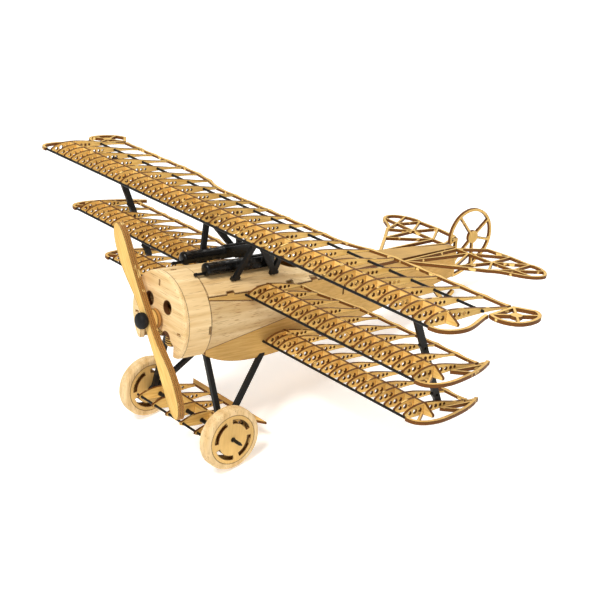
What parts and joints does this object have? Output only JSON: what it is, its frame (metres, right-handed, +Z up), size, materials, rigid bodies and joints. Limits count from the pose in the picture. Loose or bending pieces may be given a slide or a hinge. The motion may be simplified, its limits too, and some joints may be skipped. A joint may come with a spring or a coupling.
{
  "type": "wooden model triplane",
  "caption": "Free-standing wooden display model of a three-wing aeroplane with open cut-sheet ribs, black rods and struts, a turning propeller and rolling wheels.",
  "frame": {"origin": "on the surface the model stands on, below the middle of its length and span, with both wheels and the tail skid touching it", "axes": "+X along the span to the model's left wing tips, +Y from nose to tail along the surface, +Z up; the fuselage is tipped nose-up by 15.6 degrees"},
  "size_m": [0.4154, 0.283, 0.1353],
  "materials": {
    "rib_wood": "thin golden sheet with burnt cut edges",
    "outline_wood": "thin golden sheet with burnt cut edges",
    "panel_wood": "bare honey-coloured sheet",
    "balsa": "bare pale sheet, fine straight grain",
    "propeller_wood": "laminated and sanded, with dark glue lines",
    "black_rod": "satin black",
    "engine_wood": "stacked cut-sheet discs with burnt edges",
    "gun_black": "soft gloss black",
    "hub_black": "matt charcoal",
    "steel": "drawn wire"
  },
  "bodies": {
    "airframe": {"aileron_horns": "outline_wood", "axle": "black_rod", "axle_wing_leading_rod": "black_rod", "axle_wing_ribs": "rib_wood", "axle_wing_spar": "rib_wood", "axle_wing_trailing_strip": "outline_wood", "belly_board": "panel_wood", "cabane_strut_left": "black_rod", "cabane_strut_right": "black_rod", "cheek_left": "balsa", "cheek_right": "balsa", "cowl_band": "balsa", "cowl_face": "balsa", "engine_crankcase": "engine_wood", "engine_cylinders": "engine_wood", "firewall": "panel_wood", "front_deck": "balsa", "fuselage_formers": "panel_wood", "fuselage_side_left": "panel_wood", "fuselage_side_right": "panel_wood", "gear_strut_left": "black_rod", "gear_strut_right": "black_rod", "gun_jackets": "gun_black", "gun_muzzles": "gun_black", "gun_receivers": "gun_black", "interplane_strut_left": "black_rod", "interplane_strut_right": "black_rod", "lower_wing_leading_rods": "black_rod", "lower_wing_riblets": "rib_wood", "lower_wing_ribs": "rib_wood", "lower_wing_spars": "rib_wood", "lower_wing_tips": "outline_wood", "lower_wing_trailing_strips": "outline_wood", "middle_wing_leading_rods": "black_rod", "middle_wing_riblets": "rib_wood", "middle_wing_ribs": "rib_wood", "middle_wing_spars": "rib_wood", "middle_wing_tips": "outline_wood", "middle_wing_trailing_strips": "outline_wood", "rear_deck": "panel_wood", "rudder": "outline_wood", "tail_skid": "outline_wood", "tailplane_left": "outline_wood", "tailplane_right": "outline_wood", "upper_wing_leading_rod": "black_rod", "upper_wing_rear_rod": "black_rod", "upper_wing_riblets": "rib_wood", "upper_wing_ribs": "rib_wood", "upper_wing_spar": "rib_wood", "upper_wing_tips": "outline_wood", "upper_wing_trailing_strip": "outline_wood"},
    "propeller": {"propeller": "propeller_wood", "propeller_hub_disc": "propeller_wood", "propeller_dome_nut": "hub_black", "propeller_shaft": "steel"},
    "wheel_left": {"tyre_left": "balsa", "wheel_discs_left": "panel_wood"},
    "wheel_right": {"tyre_right": "balsa", "wheel_discs_right": "panel_wood"}
  },
  "joints": [
    {"name": "propeller_spin", "type": "hinge", "parent": "airframe", "child": "propeller", "pos_m": [0, -0.12009, 0.0859], "axis": [0, 0.9632, -0.2687], "continuous": true},
    {"name": "wheel_left_spin", "type": "hinge", "parent": "airframe", "child": "wheel_left", "pos_m": [0.0435, -0.11362, 0.019], "axis": [1, 0, 0], "continuous": true},
    {"name": "wheel_right_spin", "type": "hinge", "parent": "airframe", "child": "wheel_right", "pos_m": [-0.0435, -0.11362, 0.019], "axis": [1, 0, 0], "continuous": true}
  ]
}
